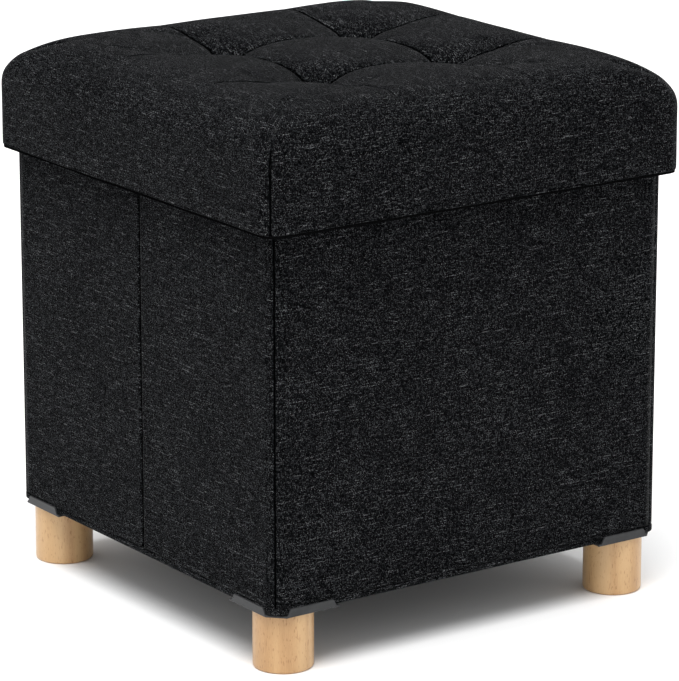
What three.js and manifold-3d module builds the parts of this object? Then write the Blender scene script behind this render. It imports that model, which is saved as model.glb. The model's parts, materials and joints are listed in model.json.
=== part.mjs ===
// A folding storage ottoman: a padded lift-off lid on a fabric-covered box that stands on four wooden legs.
// The box's two sides are creased down their middle, so that it folds flat against its back panel.
// Millimetres, +Z up. The origin is on the floor under the middle of the seat, and the rigid front faces -Y.
import * as THREE from "three";
import { mergeVertices } from "three/addons/utils/BufferGeometryUtils.js";
import Module from "manifold-3d";

const wasm = await Module();
wasm.setup();

// Driving dimensions.
const LID_WIDTH = 400; // outside of the square lid, across its fabric
const BODY_WIDTH = 377; // outside of the square box
const SKIRT_BOTTOM = 352; // height of the lid's lower edge
const SEAT_TOP = 445; // height of the lid's crown
const SKIRT_OVERLAP = 36; // how far the skirt reaches down over the walls
const LEG_HEIGHT = 48;
const LEG_DIAMETER = 48;
const LEG_INSET = 25; // from the box's outer face to a leg's axis

// Thicknesses and clearances.
const GAP = 0.2; // between two pieces that lie on each other
const COVER = 1.4; // outer fabric with its thin wadding
const WALL_BOARD = 5;
const LINING = 0.6;
const LINING_INSET = 1.2; // from a lining's edge to what surrounds it
const BASE_BOARD = 4;
const BASE_FABRIC = 0.8; // under the base board
const PLATE = 1.5; // steel of the corner brackets
const LID_BOARD = 6;
const RIM = 6.5; // wooden strips inside the lid's skirt
const KNOT_HEIGHT = 0.6;
const WASHER_HEIGHT = 1.4;
const WALL_CLEARANCE = 0.5; // from the base's lining to the walls, which swing over it
const LID_CLEARANCE = 0.4; // from the walls' upper edge to the lid's lining

// Heights, from the floor up.
const plateTop = LEG_HEIGHT + PLATE;
const baseCoverBottom = plateTop + GAP;
const baseBoardBottom = baseCoverBottom + BASE_FABRIC + GAP;
const baseBoardTop = baseBoardBottom + BASE_BOARD;
const baseLiningTop = baseBoardTop + GAP + LINING;
const wallBottom = baseLiningTop + WALL_CLEARANCE;
const wallTop = SKIRT_BOTTOM + SKIRT_OVERLAP;
const lidLiningBottom = wallTop + LID_CLEARANCE;
const lidLiningTop = lidLiningBottom + LINING;
const knotTop = lidLiningTop + GAP + KNOT_HEIGHT;
const washerTop = knotTop + GAP + WASHER_HEIGHT;
const lidBoardBottom = washerTop + GAP;
const lidBoardTop = lidBoardBottom + LID_BOARD;
const foamBottom = lidBoardTop + GAP;

// The box in plan. Each wall is a cover, a board and a lining, one behind the other.
const outer = BODY_WIDTH / 2;
const boardOuter = outer - COVER - GAP;
const boardInner = boardOuter - WALL_BOARD;
const liningOuter = boardInner - GAP;
const liningInner = liningOuter - LINING;
const corner = liningInner - GAP; // the corner folds turn about (+-corner, +-corner)
const cornerRadius = outer - corner;
const creaseAxis = outer + GAP; // the middle creases turn about (+-creaseAxis, 0)
const CORNER_END_GAP = 0.3; // from a corner fold to the side wall's end
const CREASE_COVER_GAP = 0.3; // from the middle crease to a cover's end
const CREASE_BOARD_GAP = 1.3; // from the middle crease to a board's end
const CREASE_TAPE_GAP = 0.1; // from the middle crease to the tape, which is on the rear half
const CREASE_TAPE = 0.8; // thickness of the tape that closes the crease
const TOP_FOLD = 2.5; // from the upper edge of a wall, where its fabric turns over, down to its board
const BOARD_CLEARANCE = 0.5; // below a board

// The lid in plan.
const lidOuter = LID_WIDTH / 2;
const LID_CORNER_RADIUS = 14;
const rimOuter = lidOuter - COVER - GAP;
const rimInner = rimOuter - RIM;
const hemInner = rimInner - GAP - COVER; // the cover is turned up inside the skirt
const hemTop = lidLiningBottom - LID_CLEARANCE;
const INNER_CORNER_RADIUS = 5; // of the hem and the linings

// Tufts: four stitches pull the top down where a 3 by 3 grid of squares meets.
const TUFT_OFFSET = 63; // from the lid's middle lines to a tuft
const TUFT_BOTTOM = 417;
const TUFT_MOUTH_RADIUS = 30;
const TUFT_FLOOR_RADIUS = 5;
const TIE_HOLE_RADIUS = 1.6;
const TIE_RADIUS = 1.2;
const WASHER_RADIUS = 11;

// Corner brackets and fasteners.
const BRACKET_SIDE = 62;
const BRACKET_CHAMFER = 12;
const FLANGE_HEIGHT = 7; // from the plate's underside
const FLANGE_LENGTH = 48;
const FLANGE_BEVEL = 4;
const BOLT_RADIUS = 3.9;
const BOLT_HOLE_RADIUS = 4.2;
const BOLT_DEPTH = 28; // how far the hanger bolt goes down into the leg
const NUT_ACROSS_FLATS = 13;
const NUT_HEIGHT = 4.4;
const NUT_HOLE_RADIUS = 8; // hole in the base board and its cover around the nut

const ROUND_SEGMENTS = 24;

const material = (color, roughness, metalness = 0) =>
  new THREE.MeshStandardMaterial({ color, roughness, metalness });
const fabric = material(0x1a1c1e, 0.92);
const lining = material(0x151617, 0.95);
const fibreboard = material(0x9c7a55, 0.8);
const beech = material(0xd8ad78, 0.5);
const blackSteel = material(0x2b2d2f, 0.45, 0.6);
const zinc = material(0xb9bcc0, 0.35, 0.9);
const foam = material(0xe9e2c8, 0.95);
const twine = material(0x222324, 0.8);
const nylon = material(0xd9d9d4, 0.6);

// A closed three.js geometry as a manifold-3d solid, and back.
function solid(geometry) {
  const plain = new THREE.BufferGeometry();
  const source = geometry.index ? geometry.toNonIndexed() : geometry;
  plain.setAttribute("position", source.getAttribute("position"));
  const merged = mergeVertices(plain, 1e-4);
  const vertProperties = merged.attributes.position.array;
  const triVerts = new Uint32Array(merged.index.array);
  return new wasm.Manifold(new wasm.Mesh({ numProp: 3, vertProperties, triVerts }));
}

function geometryOf(body) {
  const mesh = body.getMesh();
  const positions = new THREE.BufferAttribute(new Float32Array(mesh.vertProperties), 3);
  const geometry = new THREE.BufferGeometry().setAttribute("position", positions);
  geometry.setIndex(new THREE.BufferAttribute(mesh.triVerts, 1));
  const faceted = geometry.toNonIndexed();
  faceted.computeVertexNormals();
  return faceted;
}

// A box between two corners.
function box(x0, y0, z0, x1, y1, z1) {
  const geometry = new THREE.BoxGeometry(x1 - x0, y1 - y0, z1 - z0);
  return geometry.translate((x0 + x1) / 2, (y0 + y1) / 2, (z0 + z1) / 2);
}

function roundBar(radius, z0, z1, x = 0, y = 0) {
  const geometry = new THREE.CylinderGeometry(radius, radius, z1 - z0, ROUND_SEGMENTS);
  return geometry.rotateX(Math.PI / 2).translate(x, y, (z0 + z1) / 2);
}

// A square plate with rounded corners, centred on the origin.
function roundedPlate(half, radius, z0, z1) {
  const inner = half - radius;
  const shape = new THREE.Shape();
  shape.moveTo(-inner, -half);
  shape.lineTo(inner, -half);
  shape.absarc(inner, -inner, radius, -Math.PI / 2, 0);
  shape.lineTo(half, inner);
  shape.absarc(inner, inner, radius, 0, Math.PI / 2);
  shape.lineTo(-inner, half);
  shape.absarc(-inner, inner, radius, Math.PI / 2, Math.PI);
  shape.lineTo(-half, -inner);
  shape.absarc(-inner, -inner, radius, Math.PI, 1.5 * Math.PI);
  const options = { depth: z1 - z0, bevelEnabled: false, curveSegments: 4 };
  return new THREE.ExtrudeGeometry(shape, options).translate(0, 0, z0);
}

// A closed surface through rounded-square rings, [half width, corner radius, height],
// that starts and ends in a point on the Z axis.
function ringLoft(firstHeight, rings, lastHeight) {
  const perCorner = 5;
  const positions = [0, 0, firstHeight];
  for (const [half, radius, z] of rings)
    for (let quarter = 0; quarter < 4; quarter++)
      for (let step = 0; step < perCorner; step++) {
        const turn = ((quarter + step / (perCorner - 1)) * Math.PI) / 2;
        const middle = ((quarter + 0.5) * Math.PI) / 2;
        const inset = (half - radius) * Math.SQRT2;
        positions.push(
          Math.cos(middle) * inset + Math.cos(turn) * radius,
          Math.sin(middle) * inset + Math.sin(turn) * radius,
          z,
        );
      }
  positions.push(0, 0, lastHeight);
  const count = 4 * perCorner;
  const last = 1 + rings.length * count;
  const index = [];
  for (let i = 0; i < count; i++) {
    const next = (i + 1) % count;
    index.push(0, 1 + i, 1 + next);
    for (let ring = 0; ring + 1 < rings.length; ring++) {
      const a = 1 + ring * count;
      const b = a + count;
      index.push(a + i, b + i, a + next, a + next, b + i, b + next);
    }
    index.push(last - count + i, last, last - count + next);
  }
  const geometry = new THREE.BufferGeometry();
  geometry.setAttribute("position", new THREE.Float32BufferAttribute(positions, 3));
  return geometry.setIndex(index);
}

const inOrder = (a, b) => [Math.min(a, b), Math.max(a, b)];

const ottoman = new THREE.Group();

function add(name, geometry, look) {
  const mesh = new THREE.Mesh(geometry, look);
  mesh.name = name;
  ottoman.add(mesh);
  return mesh;
}

const corners = [
  ["front_left", -1, -1],
  ["front_right", 1, -1],
  ["rear_right", 1, 1],
  ["rear_left", -1, 1],
];
const sides = [
  ["left", -1],
  ["right", 1],
];

// Legs, each with a hanger bolt that screws into the nut on its bracket.
function addLegs() {
  const reach = outer - LEG_INSET;
  const boltBottom = LEG_HEIGHT - BOLT_DEPTH;
  const nutBottom = plateTop + GAP;
  for (const [place, sx, sy] of corners) {
    const x = sx * reach;
    const y = sy * reach;
    const edge = 1.5; // rounding of the leg's foot
    const top = LEG_HEIGHT - GAP;
    const radius = LEG_DIAMETER / 2;
    const profile = [
      [0, 0],
      [radius - edge, 0],
      [radius - 0.3 * edge, 0.3 * edge],
      [radius, edge],
      [radius, top],
      [BOLT_HOLE_RADIUS, top],
      [BOLT_HOLE_RADIUS, boltBottom - 1],
      [0, boltBottom - 1],
    ];
    const points = profile.map(([r, z]) => new THREE.Vector2(r, z));
    const leg = new THREE.LatheGeometry(points, 32).rotateX(Math.PI / 2);
    add(`leg_${place}`, leg, beech).position.set(x, y, 0);
    const bolt = roundBar(BOLT_RADIUS, boltBottom, nutBottom + NUT_HEIGHT - 0.3);
    add(`leg_bolt_${place}`, bolt, zinc).position.set(x, y, 0);
    const hexagon = new THREE.CylinderGeometry(
      NUT_ACROSS_FLATS / Math.sqrt(3),
      NUT_ACROSS_FLATS / Math.sqrt(3),
      NUT_HEIGHT,
      6,
    );
    hexagon.rotateX(Math.PI / 2).translate(0, 0, nutBottom + NUT_HEIGHT / 2);
    const hole = roundBar(BOLT_HOLE_RADIUS, nutBottom - 1, nutBottom + NUT_HEIGHT + 1);
    const nut = solid(hexagon).subtract(solid(hole));
    add(`bracket_nut_${place}`, geometryOf(nut), zinc).position.set(x, y, 0);
  }
}

// Bent steel plates under the box's corners: a flat plate with two low flanges that hold the base's edge.
function addBrackets() {
  const far = outer + GAP + PLATE;
  const near = far - BRACKET_SIDE;
  const innerCut = 14;
  const outline = new THREE.Shape();
  outline.moveTo(near + innerCut, near);
  outline.lineTo(far, near);
  outline.lineTo(far, far - BRACKET_CHAMFER);
  outline.lineTo(far - BRACKET_CHAMFER, far);
  outline.lineTo(near, far);
  outline.lineTo(near, near + innerCut);
  outline.closePath();
  const boltHole = new THREE.Path();
  const reach = outer - LEG_INSET;
  boltHole.absarc(reach, reach, BOLT_HOLE_RADIUS + 0.4, 0, 2 * Math.PI, true);
  outline.holes.push(boltHole);
  const plate = new THREE.ExtrudeGeometry(outline, {
    depth: PLATE,
    bevelEnabled: false,
    curveSegments: 10,
  });
  plate.translate(0, 0, LEG_HEIGHT);
  const start = far - BRACKET_CHAMFER - FLANGE_LENGTH;
  const end = far - BRACKET_CHAMFER;
  const side = new THREE.Shape();
  side.moveTo(start, 0);
  side.lineTo(end, 0);
  side.lineTo(end - FLANGE_BEVEL, FLANGE_HEIGHT);
  side.lineTo(start + FLANGE_BEVEL, FLANGE_HEIGHT);
  side.closePath();
  const flange = () =>
    new THREE.ExtrudeGeometry(side, { depth: PLATE, bevelEnabled: false });
  const alongX = flange().rotateX(Math.PI / 2).translate(0, far, LEG_HEIGHT);
  const alongY = flange()
    .rotateX(Math.PI / 2)
    .rotateZ(Math.PI / 2)
    .translate(far - PLATE, 0, LEG_HEIGHT);
  const bracket = solid(plate).add(solid(alongX)).add(solid(alongY));
  const geometry = geometryOf(bracket);
  corners.forEach(([place], i) => {
    const mesh = add(`corner_bracket_${place}`, geometry.clone(), blackSteel);
    mesh.rotation.z = Math.PI + (i * Math.PI) / 2;
  });
}

// The base: a fibreboard in a shallow fabric tray, with a lining on top. The walls stand on its edge.
function addBase() {
  const reach = outer - LEG_INSET;
  const nutHoles = corners.map(([, sx, sy]) =>
    solid(
      roundBar(NUT_HOLE_RADIUS, plateTop, baseBoardTop + 0.1, sx * reach, sy * reach),
    ),
  );
  const drill = (body) => nutHoles.reduce((left, hole) => left.subtract(hole), body);
  const block = roundedPlate(outer, cornerRadius, baseCoverBottom, wallBottom - GAP);
  const pocket = roundedPlate(
    boardOuter + GAP,
    cornerRadius - COVER,
    baseBoardBottom - GAP,
    wallBottom + 1,
  );
  const tray = drill(solid(block).subtract(solid(pocket)));
  add("base_cover", geometryOf(tray), fabric);
  const board = roundedPlate(
    boardOuter,
    cornerRadius - COVER - GAP,
    baseBoardBottom,
    baseBoardTop,
  );
  add("base_board", geometryOf(drill(solid(board))), fibreboard);
  const sheet = roundedPlate(
    boardOuter - LINING_INSET,
    INNER_CORNER_RADIUS,
    baseBoardTop + GAP,
    baseLiningTop,
  );
  add("base_lining", sheet, lining);
}

const fabricHeights = [wallBottom, wallTop];
const boardHeights = [wallBottom + BOARD_CLEARANCE, wallTop - TOP_FOLD];

// Front and back walls: one rigid board each, wrapped outside and lined inside.
function addRigidWall(name, sy) {
  const half = corner - GAP;
  const slab = (from, to, [z0, z1]) => {
    const [y0, y1] = inOrder(sy * from, sy * to);
    return box(-half, y0, z0, half, y1, z1);
  };
  add(`${name}_cover`, slab(outer, outer - COVER, fabricHeights), fabric);
  add(`${name}_board`, slab(boardOuter, boardInner, boardHeights), fibreboard);
  add(`${name}_lining`, slab(liningOuter, liningInner, fabricHeights), lining);
}

// Half a side wall, from a corner fold to the middle crease.
function addHalfWall(name, sx, sy) {
  const far = corner - CORNER_END_GAP;
  const slab = (from, to, near, [z0, z1]) => {
    const [x0, x1] = inOrder(sx * from, sx * to);
    const [y0, y1] = inOrder(sy * near, sy * far);
    return box(x0, y0, z0, x1, y1, z1);
  };
  const cover = slab(outer, outer - COVER, CREASE_COVER_GAP, fabricHeights);
  add(`${name}_cover`, cover, fabric);
  const board = slab(boardOuter, boardInner, CREASE_BOARD_GAP, boardHeights);
  add(`${name}_board`, board, fibreboard);
  const inside = slab(liningOuter, liningInner, CREASE_BOARD_GAP, fabricHeights);
  add(`${name}_lining`, inside, lining);
}

// The folds: a rounded fabric strip round each corner, and a seam tape behind each middle crease.
function addFolds() {
  const ring = new THREE.Shape();
  ring.moveTo(cornerRadius, 0);
  ring.absarc(0, 0, cornerRadius, 0, Math.PI / 2);
  ring.lineTo(0, cornerRadius - COVER);
  ring.absarc(0, 0, cornerRadius - COVER, Math.PI / 2, 0, true);
  ring.closePath();
  const height = wallTop - wallBottom;
  const strip = new THREE.ExtrudeGeometry(ring, {
    depth: height,
    bevelEnabled: false,
    curveSegments: 6,
  });
  corners.forEach(([place, sx, sy], i) => {
    const mesh = add(`corner_fold_${place}`, strip.clone(), fabric);
    mesh.position.set(sx * corner, sy * corner, wallBottom);
    mesh.rotation.z = Math.PI + (i * Math.PI) / 2;
  });
  for (const [side, sx] of sides) {
    const [x0, x1] = inOrder(sx * (boardInner + GAP), sx * boardOuter);
    const [z0, z1] = boardHeights;
    const [y0, y1] = [CREASE_TAPE_GAP, CREASE_TAPE_GAP + CREASE_TAPE];
    add(`crease_tape_${side}`, box(x0, y0, z0, x1, y1, z1), twine);
  }
}

// Rings of the lid's outer fabric at a given depth below its outside, from the crown to the skirt's edge.
function crownRings(depth) {
  const shoulder = 33; // how far in and down the padded edge is rounded
  const crownDrop = 5; // from the crown to the start of the shoulder
  const extraRadius = 26; // the corners are rounder in plan at the top of the shoulder
  const side = lidOuter - depth;
  const top = SEAT_TOP - depth;
  const rings = [
    [70, 45, top - 0.4],
    [130, 45, top - 2],
  ];
  const steps = 6;
  for (let i = 0; i <= steps; i++) {
    const turn = ((i / steps) * Math.PI) / 2;
    const half = side - shoulder * (1 - Math.sin(turn));
    const drop = crownDrop + shoulder * (1 - Math.cos(turn));
    const radius = LID_CORNER_RADIUS - depth + extraRadius * (1 - i / steps) ** 1.5;
    rings.push([half, radius, top - drop]);
  }
  return rings;
}

function tuftCones(depth) {
  const floor = TUFT_BOTTOM - depth;
  const mouth = SEAT_TOP + 2;
  const height = mouth - floor;
  const top = TUFT_MOUTH_RADIUS + depth;
  const cone = new THREE.CylinderGeometry(top, TUFT_FLOOR_RADIUS + depth, height, 16);
  cone.rotateX(Math.PI / 2).translate(0, 0, floor + height / 2);
  return corners.map(([, sx, sy]) =>
    solid(cone.clone().translate(sx * TUFT_OFFSET, sy * TUFT_OFFSET, 0)),
  );
}

function tieHoles(z0, z1) {
  return corners.map(([, sx, sy]) =>
    solid(roundBar(TIE_HOLE_RADIUS, z0, z1, sx * TUFT_OFFSET, sy * TUFT_OFFSET)),
  );
}

const cutAll = (body, tools) => tools.reduce((left, tool) => left.subtract(tool), body);

// The lid: fabric over foam on a board, with a skirt stiffened by four strips.
function addLid() {
  const skirt = (depth, z) => [lidOuter - depth, LID_CORNER_RADIUS - depth, z];
  const outside = solid(
    ringLoft(SEAT_TOP, [...crownRings(0), skirt(0, SKIRT_BOTTOM)], SKIRT_BOTTOM),
  );
  const inside = solid(
    ringLoft(
      SEAT_TOP - COVER,
      [...crownRings(COVER), skirt(COVER, SKIRT_BOTTOM + COVER)],
      SKIRT_BOTTOM + COVER,
    ),
  );
  const mouth = solid(
    roundedPlate(hemInner, INNER_CORNER_RADIUS, SKIRT_BOTTOM - 1, hemTop + 1),
  );
  const hem = solid(
    roundedPlate(hemInner + COVER, INNER_CORNER_RADIUS + COVER, SKIRT_BOTTOM, hemTop),
  );
  const pitted = cutAll(outside, tuftCones(0)).subtract(mouth);
  const hollow = cutAll(inside, tuftCones(COVER)).subtract(hem.subtract(mouth));
  const shell = cutAll(pitted.subtract(hollow), tieHoles(foamBottom, SEAT_TOP));
  add("lid_cover", geometryOf(shell), fabric);

  const depth = COVER + GAP;
  const edge = [lidOuter - depth, LID_CORNER_RADIUS - depth, foamBottom];
  const padding = solid(ringLoft(SEAT_TOP - depth, [...crownRings(depth), edge], foamBottom));
  const pad = cutAll(padding, tuftCones(depth));
  add("lid_foam", geometryOf(cutAll(pad, tieHoles(foamBottom - 1, SEAT_TOP))), foam);

  const board = roundedPlate(rimOuter, LID_CORNER_RADIUS, lidBoardBottom, lidBoardTop);
  const drilled = cutAll(solid(board), tieHoles(lidBoardBottom - 1, lidBoardTop + 1));
  add("lid_board", geometryOf(drilled), fibreboard);
  addRims();
  const sheet = roundedPlate(
    rimInner - LINING_INSET,
    INNER_CORNER_RADIUS,
    lidLiningBottom,
    lidLiningTop,
  );
  add("lid_lining", sheet, lining);
}

function addRims() {
  const bottom = SKIRT_BOTTOM + COVER + GAP;
  const top = lidBoardBottom - GAP;
  const frame = solid(roundedPlate(rimOuter, LID_CORNER_RADIUS, bottom, top)).subtract(
    solid(roundedPlate(rimInner, 1, bottom - 1, top + 1)),
  );
  const far = lidOuter + 1;
  const near = rimInner;
  const strips = {
    front: [-far, -far, far, -near],
    rear: [-far, near, far, far],
    left: [-far, -near + GAP, -near, near - GAP],
    right: [near, -near + GAP, far, near - GAP],
  };
  for (const [side, [x0, y0, x1, y1]] of Object.entries(strips)) {
    const cutter = solid(box(x0, y0, bottom - 1, x1, y1, top + 1));
    add(`lid_rim_${side}`, geometryOf(frame.intersect(cutter)), fibreboard);
  }
}

// Tuft ties: a stitched bar in each pit, its twine through the foam and board, and a knot under a washer.
function addTufts() {
  const head = 3.6;
  const profile = [
    [0, lidLiningTop + GAP],
    [2.6, lidLiningTop + GAP],
    [2.6, knotTop],
    [TIE_RADIUS, knotTop],
    [TIE_RADIUS, TUFT_BOTTOM + GAP],
    [head, TUFT_BOTTOM + GAP],
    [head * 0.7, TUFT_BOTTOM + GAP + 1.6],
    [0, TUFT_BOTTOM + GAP + 2],
  ];
  const points = profile.map(([r, z]) => new THREE.Vector2(r, z));
  const tie = new THREE.LatheGeometry(points, 12).rotateX(Math.PI / 2);
  const disc = solid(roundBar(WASHER_RADIUS, knotTop + GAP, washerTop));
  const washer = disc.subtract(solid(roundBar(TIE_HOLE_RADIUS, knotTop, washerTop + 1)));
  for (const [place, sx, sy] of corners) {
    const [x, y] = [sx * TUFT_OFFSET, sy * TUFT_OFFSET];
    add(`tuft_tie_${place}`, tie.clone(), twine).position.set(x, y, 0);
    add(`tuft_washer_${place}`, geometryOf(washer), nylon).position.set(x, y, 0);
  }
}

addLegs();
addBrackets();
addBase();
addRigidWall("back", 1);
addRigidWall("front", -1);
for (const [side, sx] of sides) {
  addHalfWall(`${side}_rear`, sx, 1);
  addHalfWall(`${side}_front`, sx, -1);
}
addFolds();
addLid();
addTufts();

export default ottoman;
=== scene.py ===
"""The looks of a folding storage ottoman: tufted fabric lid, creased fabric box, steel brackets, beech legs.

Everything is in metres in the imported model's frame: +Z up, the rigid front faces -Y, the creased sides -X and +X.
"""

import math

import bmesh
import bpy
import numpy as np
from mathutils import Matrix, Vector, noise
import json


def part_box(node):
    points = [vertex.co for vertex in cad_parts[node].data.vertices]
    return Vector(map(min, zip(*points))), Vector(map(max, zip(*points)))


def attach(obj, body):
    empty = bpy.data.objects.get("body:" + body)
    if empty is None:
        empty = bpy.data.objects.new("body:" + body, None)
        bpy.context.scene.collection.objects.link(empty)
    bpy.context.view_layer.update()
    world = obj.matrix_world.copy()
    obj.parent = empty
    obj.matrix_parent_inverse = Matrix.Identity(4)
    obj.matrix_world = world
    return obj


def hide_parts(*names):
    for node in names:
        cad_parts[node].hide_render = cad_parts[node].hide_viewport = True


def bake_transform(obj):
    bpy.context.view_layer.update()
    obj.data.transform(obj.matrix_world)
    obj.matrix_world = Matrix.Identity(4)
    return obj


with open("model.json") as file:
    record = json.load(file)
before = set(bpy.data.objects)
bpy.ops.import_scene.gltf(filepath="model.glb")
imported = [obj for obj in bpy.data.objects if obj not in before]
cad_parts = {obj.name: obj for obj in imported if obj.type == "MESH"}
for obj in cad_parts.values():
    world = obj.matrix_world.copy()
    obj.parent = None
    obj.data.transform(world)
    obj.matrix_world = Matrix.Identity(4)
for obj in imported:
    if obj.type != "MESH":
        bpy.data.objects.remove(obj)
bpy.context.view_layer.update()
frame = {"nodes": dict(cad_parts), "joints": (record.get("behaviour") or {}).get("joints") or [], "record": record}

MM = 0.001

# Places taken from the frame.
JOINTS = {joint["name"]: joint for joint in frame["joints"]}
CORNER = abs(JOINTS["left_rear_fold"]["pos_m"][0])  # the corner folds turn about (+-CORNER, +-CORNER)
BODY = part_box("base_cover")[1].x  # half the box's outside width
BASE_LOW, BASE_HIGH = (corner.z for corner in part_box("base_cover"))
WALL_LOW, WALL_HIGH = (corner.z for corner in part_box("front_cover"))
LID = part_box("lid_cover")[1].x  # half the lid's outside width
LID_LOW, LID_HIGH = (corner.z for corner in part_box("lid_cover"))
LID_LINING_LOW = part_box("lid_lining")[0].z
HEM_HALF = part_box("lid_rim_left")[1].x  # negative: the inner face of the left rim
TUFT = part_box("tuft_washer_rear_right")
TUFT_AT = (TUFT[0].x + TUFT[1].x) / 2  # the tufts are at (+-TUFT_AT, +-TUFT_AT)

WALL = BODY - CORNER  # thickness of a wall, measured from the corner fold's axis
FLAT_END = 14 * MM  # where a wall's slack dies out before its end
TUCK = 0.5 * MM  # how far the corner's cloth goes into the walls beside it
FACING = 22 * MM  # outer fabric turned over the wall's top and down inside
LINING_THICK = 0.6 * MM
LINING_CORNER = 5 * MM  # corner radius of the base's and the lid's linings
CREASE_GAP = 0.6 * MM  # from the middle crease to a half wall's fabric
THREAD = 0.62 * MM  # pitch of the outer fabric's threads
SIDE_CLOTH = 0.731  # the side walls are cut from another stretch of the cloth than the front and back

PLACES = {"front_left": (-1, -1), "front_right": (1, -1), "rear_right": (1, 1), "rear_left": (-1, 1)}


# ---------------------------------------------------------------- shaders


class Shader:
    """A material under construction, with short ways to add nodes to it."""

    def __init__(self, name):
        self.material = bpy.data.materials.new(name)
        self.material.use_nodes = True
        self.tree = self.material.node_tree
        self.surface = self.tree.nodes["Principled BSDF"]

    def put(self, socket, value):
        if isinstance(value, bpy.types.NodeSocket):
            self.tree.links.new(value, socket)
        else:
            socket.default_value = value

    def node(self, kind, output, inputs=None, **settings):
        made = self.tree.nodes.new(kind)
        for key, value in settings.items():
            setattr(made, key, value)
        for key, value in (inputs or {}).items():
            self.put(made.inputs[key], value)
        return made.outputs[output]

    def math(self, operation, *values):
        return self.node("ShaderNodeMath", 0, dict(enumerate(values)), operation=operation)

    def plus(self, a, b):
        return self.math("ADD", a, b)

    def times(self, a, b):
        return self.math("MULTIPLY", a, b)

    def times_plus(self, a, b, c):
        return self.math("MULTIPLY_ADD", a, b, c)

    def noise(self, vector, scale, detail=2.0, roughness=0.5):
        inputs = {"Vector": vector, "Scale": scale, "Detail": detail, "Roughness": roughness}
        return self.node("ShaderNodeTexNoise", 0, inputs)

    def split(self, vector):
        made = self.tree.nodes.new("ShaderNodeSeparateXYZ")
        self.put(made.inputs[0], vector)
        return tuple(made.outputs)

    def join(self, x, y, z=0.0):
        return self.node("ShaderNodeCombineXYZ", 0, {0: x, 1: y, 2: z})

    def range(self, value, low, high, to_low=0.0, to_high=1.0):
        inputs = {0: value, 1: low, 2: high, 3: to_low, 4: to_high}
        return self.node("ShaderNodeMapRange", 0, inputs)

    def mix(self, factor, a, b):
        made = self.tree.nodes.new("ShaderNodeMix")
        made.data_type = "FLOAT"
        for socket, value in zip(made.inputs[:1] + made.inputs[2:4], (factor, a, b)):
            self.put(socket, value)
        return made.outputs[0]

    def ramp(self, value, stops):
        made = self.tree.nodes.new("ShaderNodeValToRGB")
        elements = made.color_ramp.elements
        while len(elements) < len(stops):
            elements.new(0.5)
        for element, (place, color) in zip(elements, stops):
            element.position = place
            element.color = (*color, 1)
        self.put(made.inputs[0], value)
        return made.outputs[0]

    def bump(self, height, distance, strength=1.0):
        inputs = {"Height": height, "Distance": distance, "Strength": strength}
        self.put(self.surface.inputs["Normal"], self.node("ShaderNodeBump", 0, inputs))

    def surface_values(self, **values):
        for key, value in values.items():
            self.put(self.surface.inputs[key.replace("_", " ")], value)


def object_place(shader):
    return shader.node("ShaderNodeTexCoord", "Object")


def cloth_place(shader, layer):
    return shader.node("ShaderNodeUVMap", 0, uv_map=layer)


def heather(shader, along, thread, run, seed):
    """How light each thread is along its length, 0 to 1: flecked from crossing to crossing, with longer slubs."""
    crossing = shader.join(shader.math("FLOOR", along), thread, seed)
    flecks = shader.node("ShaderNodeTexWhiteNoise", 0, {"Vector": crossing})
    lane = shader.times(thread, seed)
    runs = shader.noise(shader.join(shader.times(along, run), lane), 1, 1, 0.5)
    slubs = shader.noise(shader.join(shader.times(along, 0.45 * run), lane, 9.0), 1, 0, 0.5)
    tone = shader.times_plus(flecks, 0.55, shader.range(runs, 0.3, 0.7, -0.05, 0.17))
    return shader.times_plus(shader.range(slubs, 0.66, 0.72), 0.2, tone)


def weave(shader, place):
    """A plain weave of uneven threads over cloth coordinates in metres: how light it is and its height, 0 to 1."""
    per_thread = {0: place, 1: (1 / THREAD,) * 3}
    u, v, _ = shader.split(shader.node("ShaderNodeVectorMath", 0, per_thread, operation="MULTIPLY"))
    wobble = shader.noise(place, 25, 1)
    u = shader.times_plus(wobble, 1.5, u)
    v = shader.times_plus(wobble, -1.5, v)
    column, row = shader.math("FLOOR", u), shader.math("FLOOR", v)
    across_u = shader.math("SINE", shader.times(shader.math("FRACT", u), math.pi))
    across_v = shader.math("SINE", shader.times(shader.math("FRACT", v), math.pi))
    weft_over = shader.math("MODULO", shader.math("ABSOLUTE", shader.plus(column, row)), 2)
    weft = heather(shader, u, row, 0.08, 7.31)
    warp = shader.times(heather(shader, v, column, 0.25, 5.17), 0.7)
    weft_shape = shader.times(across_v, shader.times_plus(across_u, 0.5, 0.5))
    warp_shape = shader.times(across_u, shader.times_plus(across_v, 0.5, 0.5))
    return shader.mix(weft_over, warp, weft), shader.mix(weft_over, warp_shape, weft_shape)


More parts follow.
